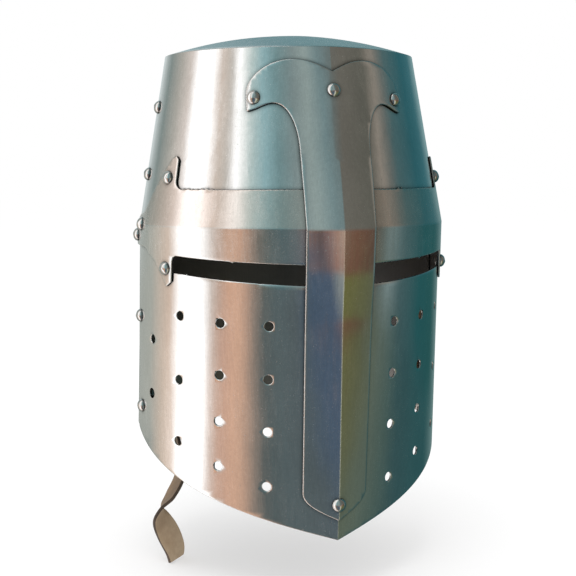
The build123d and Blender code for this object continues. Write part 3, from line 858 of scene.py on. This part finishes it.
strapShape = {
    "depth": strapDepth, "width": 19.0, "thick": 2.3, "cup": 0.5, "across": 12, "along": 150,
    "finish": ("strapGrain", "strapFlesh", "strapEdge"),
}
strapHang = 106.202  # the straps hang this far out to each side
longStrap = {
    "middle": [(-strapHang, -56), (-strapHang, -78), (-strapHang + 6.5, -105), (-strapHang + 16, -140),
               (-strapHang + 22.5, -170), (-strapHang + 22, -186), (-strapHang + 15, -199.5),
               (-strapHang + 8.0, -208.5), (-strapHang + 7.2, -216), (-strapHang + 12.5, -227.5),
               (-strapHang + 17.5, -239.5), (-strapHang + 18.5, -247.7)],
    "widths": [(0, 1, 0), (0, 1, 0), (0, 1, 0), (0, 1, 0), (0, 1, 0), (-0.05, 1, -0.05), (-0.1, 0.98, -0.17),
               (0.26, 0.95, -0.08), (0.56, 0.70, 0.42), (0.76, 0.48, 0.45), (0.74, 0.58, 0.28),
               (0.65, 0.76, -0.05)],
}
strip = addStrip("chinStrapLong", longStrap["middle"], longStrap["widths"], strapShape)
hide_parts("chin_strap_long")
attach(strip, "long_strap")

shortX = strapHang - 6.5
barHeight, loopRadius = -124.0, 3.4  # the short strap ends in a loop round the buckle's bar
turns = [radians(angle) for angle in (30, 90, 150, 210, 270, 318)]
loop = [(shortX + loopRadius * sin(turn), barHeight + loopRadius * cos(turn)) for turn in turns]
shortStrap = {
    "middle": [(strapHang, -56), (strapHang, -68), (strapHang, -80), (shortX + 2.4, -90), (shortX, -99),
               (shortX, -110), (shortX + 0.2, -117.5)] + loop,
}
strip = addStrip("chinStrapShort", shortStrap["middle"], [(0, 1, 0)] * len(shortStrap["middle"]),
                 dict(strapShape, thick=2.0, cup=0.0, along=190))
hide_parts("chin_strap_short")
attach(strip, "short_strap")
print("straps made")

# keeper: a leather loop round the short strap
keeper = {
    "height": -112.0, "tall": 7.0, "thick": 1.5, "long": 21.2, "wide": 4.6, "finish": ("strapGrain", "strapEdge"),
}
bpy.ops.object.select_all(action="DESELECT")
bpy.ops.mesh.primitive_cube_add(size=1.0)
collar = start("strapKeeper")
bpy.ops.object.mode_set(mode="EDIT")
bpy.ops.mesh.select_all(action="SELECT")
bpy.ops.transform.resize(value=(keeper["wide"] * mm, keeper["long"] * mm, keeper["tall"] * mm))
bpy.ops.mesh.select_all(action="DESELECT")
bpy.ops.object.mode_set(mode="OBJECT")
for face in collar.data.polygons:
    face.select = abs(face.normal.z) > 0.9
bpy.ops.object.mode_set(mode="EDIT")
bpy.ops.mesh.select_mode(type="FACE")
bpy.ops.mesh.delete(type="FACE")
bpy.ops.mesh.select_all(action="SELECT")
bpy.ops.mesh.subdivide(number_cuts=3)
bpy.ops.object.mode_set(mode="OBJECT")
collar.data.transform(Matrix.Translation(Vector((shortX, strapDepth, keeper["height"] - ridgeDrop)) * mm))
modify(collar, "SOLIDIFY", thickness=keeper["thick"] * mm, offset=1.0, material_offset_rim=1)
modify(collar, "BEVEL", width=0.6 * mm, segments=3, limit_method="ANGLE", angle_limit=radians(50))
only(collar)
bpy.ops.object.shade_smooth_by_angle(angle=radians(45))
dress(collar, *keeper["finish"])
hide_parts("strap_keeper")
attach(collar, "keeper")

# liner: a leather band round the brow, and eight tongues laced together over the head
liner = {
    "bandTop": 52.0, "bandLow": 20.0, "bandOut": -2.5, "thick": 2.0, "around": 240, "tongues": 8, "gap": 2.4,
    "tongueOut": -4.6, "tongueThick": 1.5, "centre": 4.0,
    "settle": 0.6,  # how far the crown of the liner has sunk
    # height, and share of the plan at the top of the band
    "rise": [(38, 1.0), (52, 1.0), (68, 0.9), (80, 0.72), (87, 0.5), (89.6, 0.34)],
    # the tongues' tips are rolled round the lace from this share of their length on, by angles in degrees
    "laceRing": 19.0, "laceHeight": 90.0, "hem": 2.4, "lace": 1.5, "rollFrom": 0.72, "rollStart": 68, "rollTurn": 330,
    # stitches: their spacing, half length and half width, heights of the rows, and steps along a quarter of a row
    "stitch": 5.0, "thread": (1.7, 0.38), "stitchRows": (22.6, 49.2), "steps": 400,
}


def addBand(shape):
    bpy.ops.object.select_all(action="DESELECT")
    bpy.ops.mesh.primitive_grid_add(x_subdivisions=shape["around"], y_subdivisions=8, size=1.0)
    belt = start("linerBand")
    for vertex in belt.data.vertices:
        way, height = vertex.co.x * 4, shape["bandLow"] + (vertex.co.y + 0.5) * (shape["bandTop"] - shape["bandLow"])
        side = 1 if way >= 0 else -1
        sag = 0.12 * sin(40 * way) * sin(height * 0.3)
        vertex.co = wallPoint(side, 1 - abs(way), height, shape["bandOut"] + sag - 0.12)
    bpy.ops.object.mode_set(mode="EDIT")
    bpy.ops.mesh.select_all(action="SELECT")
    bpy.ops.mesh.remove_doubles(threshold=0.00002)
    bpy.ops.object.mode_set(mode="OBJECT")
    face = belt.data.polygons[0]
    if face.normal.dot(Vector((face.center.x, face.center.y, 0))) < 0:
        belt.data.flip_normals()
    modify(belt, "SOLIDIFY", thickness=shape["thick"] * mm, offset=-1.0)
    modify(belt, "BEVEL", width=0.5 * mm, segments=2, limit_method="ANGLE", angle_limit=radians(55))
    only(belt)
    bpy.ops.object.shade_smooth_by_angle(angle=radians(50))
    return belt


def planReach(angle, height, out):
    # distance from the liner's centre to the wall in a direction
    low, high = -1.0, 1.0
    for _ in range(22):
        middle = (low + high) / 2
        spot = wallPoint(1, middle, height, out) / mm
        if atan2(spot.y - liner["centre"], spot.x) > atan2(sin(angle), abs(cos(angle))):
            low = middle
        else:
            high = middle
    return sqrt(spot.x ** 2 + (spot.y - liner["centre"]) ** 2)


def addTongue(index, shape):
    bpy.ops.object.select_all(action="DESELECT")
    bpy.ops.mesh.primitive_grid_add(x_subdivisions=16, y_subdivisions=56, size=1.0)
    tongue = start("linerTongue" + str(index + 1))
    middle, edge = 2 * pi / shape["tongues"] * (index + 0.5), pi / shape["tongues"]
    climb, rollFrom = [Vector((h, share, 0)) for h, share in shape["rise"]], shape["rollFrom"]
    for vertex in tongue.data.vertices:
        across, t = vertex.co.x * 2, vertex.co.y + 0.5
        if t < rollFrom:
            height, share, _ = smoothBetween(climb, t / rollFrom)
            reach = share * planReach(middle + across * edge, shape["bandTop"], shape["tongueOut"])
        else:
            turn = radians(shape["rollStart"] + shape["rollTurn"] * (t - rollFrom) / (1 - rollFrom))
            reach = shape["laceRing"] + shape["hem"] * cos(turn) * 1.25
            height = shape["laceHeight"] + shape["hem"] * sin(turn) * 0.95
        gap = shape["gap"] / max(reach, 8.0)
        angle = middle + across * (edge - gap)
        # each tongue puckers towards the lace
        pucker = 0.45 * sin(across * 9 + index) * min(1.0, max(0.0, t - 0.3) * 2.2) * (1 if t < rollFrom else 0.35)
        depth = shape["centre"] + reach * sin(angle)
        vertex.co = Vector((reach * cos(angle), depth, height - ridgeDrop - shape["settle"] + pucker)) * mm
    face = tongue.data.polygons[8]
    if face.normal.dot(Vector((face.center.x, face.center.y, 0))) < 0:
        tongue.data.flip_normals()
    modify(tongue, "SOLIDIFY", thickness=shape["tongueThick"] * mm, offset=-1.0)
    modify(tongue, "BEVEL", width=0.45 * mm, segments=2, limit_method="ANGLE", angle_limit=radians(55))
    only(tongue)
    bpy.ops.object.shade_smooth_by_angle(angle=radians(50))
    return tongue


def addStitches(shape):
    threads, quarter = [], shape["steps"]
    long, thin = (size * mm for size in shape["thread"])
    bpy.ops.object.select_all(action="DESELECT")
    bpy.ops.mesh.primitive_uv_sphere_add(segments=6, ring_count=4, radius=1.0)
    single = bpy.context.active_object
    single.data.transform(Matrix.Diagonal((long, thin, thin, 1.0)))
    for height in shape["stitchRows"]:
        along, last = 0.0, wallPoint(1, 1, height, shape["bandOut"] - shape["thick"])
        for i in range(1, 4 * quarter + 1):
            way = i / quarter
            side, part = (1, 1 - way) if way <= 2 else (-1, way - 3)
            here = wallPoint(side, part, height, shape["bandOut"] - shape["thick"] - 0.1)
            along += (here - last).length
            if along > shape["stitch"] * mm:
                along = 0.0
                thread = bpy.data.objects.new("thread", single.data.copy())
                bpy.context.collection.objects.link(thread)
                thread.data.transform(placeAt(here, Vector((here.x, here.y, 0)).normalized(), here - last))
                threads.append(thread)
            last = here
    bpy.data.objects.remove(single)
    bpy.ops.object.select_all(action="DESELECT")
    for thread in threads:
        thread.select_set(True)
    bpy.context.view_layer.objects.active = threads[0]
    bpy.ops.object.join()
    rows = start("linerStitches")
    bpy.ops.object.shade_smooth()
    return rows


def addLace(shape):
    bpy.ops.object.select_all(action="DESELECT")
    bpy.ops.mesh.primitive_torus_add(major_radius=shape["laceRing"] * mm, minor_radius=shape["lace"] * mm,
                                     major_segments=120, minor_segments=14)
    thong = start("linerLace")
    for vertex in thong.data.vertices:
        # twisted like a thong, a little flat
        around = atan2(vertex.co.y, vertex.co.x)
        ring = Vector((cos(around), sin(around), 0)) * shape["laceRing"] * mm
        off = vertex.co - ring
        vertex.co = ring + off * (0.9 + 0.1 * sin(24 * around + 2 * atan2(off.z, off.dot(ring.normalized()))))
    crownHeight = shape["laceHeight"] - ridgeDrop - shape["settle"]
    thong.data.transform(Matrix.Translation(Vector((0, shape["centre"], crownHeight)) * mm))
    bpy.ops.object.shade_smooth()
    return thong


belt = addBand(liner)
dress(belt, "linerGrain")
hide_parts("liner_band")
stitches = addStitches(liner)
dress(stitches, "threadWax")
for piece in (belt, stitches):
    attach(piece, "helmet")
for index in range(liner["tongues"]):
    tongue = addTongue(index, liner)
    dress(tongue, "linerGrain")
    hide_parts("liner_tongue_" + str(index + 1))
    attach(tongue, "helmet")
thong = addLace(liner)
dress(thong, "laceGrain")
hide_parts("liner_lace")
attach(thong, "helmet")
print("liner made")

floorPlan = {"size": 30.0, "colour": (0.52, 0.52, 0.52), "glow": 0.48, "gap": 0.0005}


def addFloor(plan):
    bpy.ops.object.select_all(action="DESELECT")
    lowest = min(packedBox[0][2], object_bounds()[0][2]) - plan["gap"]
    bpy.ops.mesh.primitive_plane_add(size=plan["size"], location=(0, 0, lowest))
    floor = bpy.context.active_object
    floor.name = "paleFloor"
    paint = bpy.data.materials.new("palePaint")
    paint.use_nodes = True
    shader = paint.node_tree.nodes["Principled BSDF"]
    shader.inputs["Base Color"].default_value = (*plan["colour"], 1.0)
    shader.inputs["Roughness"].default_value = 0.9
    shader.inputs["Emission Color"].default_value = (1.0, 1.0, 1.0, 1.0)
    shader.inputs["Emission Strength"].default_value = plan["glow"]
    shader.inputs["Specular IOR Level"].default_value = 0.0
    floor.data.materials.append(paint)
    floor.visible_glossy = False
    floor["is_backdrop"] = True


addFloor(floorPlan)
print("floor laid")
